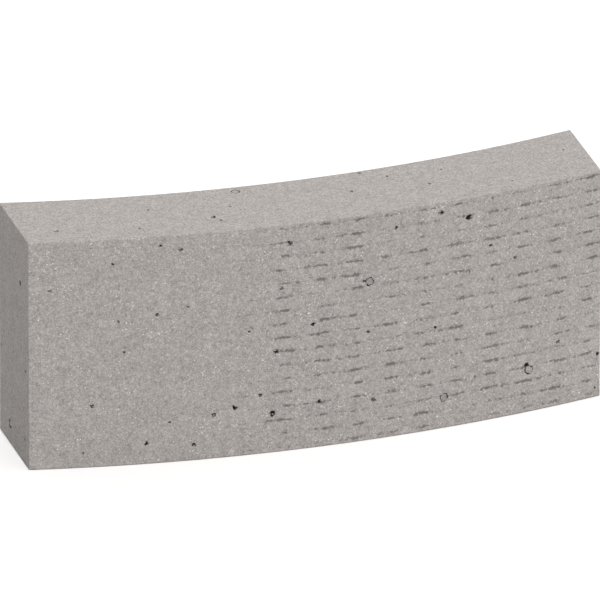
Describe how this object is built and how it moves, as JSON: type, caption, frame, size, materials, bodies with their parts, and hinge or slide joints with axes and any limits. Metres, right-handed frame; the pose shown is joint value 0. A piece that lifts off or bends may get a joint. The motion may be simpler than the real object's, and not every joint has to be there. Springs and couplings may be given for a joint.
{
  "type": "diamond core bit segment",
  "caption": "Curved sintered block with level layers of buried diamond crystals, parallel ends and a flat joint face, for brazing to the rim of a concrete core bit.",
  "frame": {"origin": "bottom centre of the block's box, on the joint face", "axes": "+Z from the joint face to the cutting face, along the core bit's axis; +X along the chord; -Y the way the convex outer face looks"},
  "size_m": [0.024, 0.0054, 0.01],
  "materials": {
    "sintered_bond": "dull warm grey sintered metal, fine grained, with bright specks",
    "buried_diamond": "greenish yellow synthetic diamond crystals, sharp edged",
    "flush_diamond": "grey diamond crystals, ground level with the face"
  },
  "bodies": {
    "root": {"bond_matrix": "sintered_bond", "crystal_layer_01": "buried_diamond", "crystal_layer_02": "buried_diamond", "crystal_layer_03": "buried_diamond", "crystal_layer_04": "buried_diamond", "crystal_layer_05": "buried_diamond", "crystal_layer_06": "buried_diamond", "crystal_layer_07": "buried_diamond", "crystal_layer_08": "buried_diamond", "crystal_layer_09": "buried_diamond", "crystal_layer_10": "buried_diamond", "crystal_layer_11": "buried_diamond", "crystal_layer_12": "buried_diamond", "crystal_layer_13": "buried_diamond", "crystal_layer_14": "buried_diamond", "crystal_layer_15": "buried_diamond", "crystal_layer_16": "buried_diamond", "outer_face_crystals": "flush_diamond", "inner_face_crystals": "flush_diamond", "cutting_face_crystals": "flush_diamond", "left_end_crystals": "flush_diamond", "right_end_crystals": "flush_diamond"}
  },
  "joints": []
}
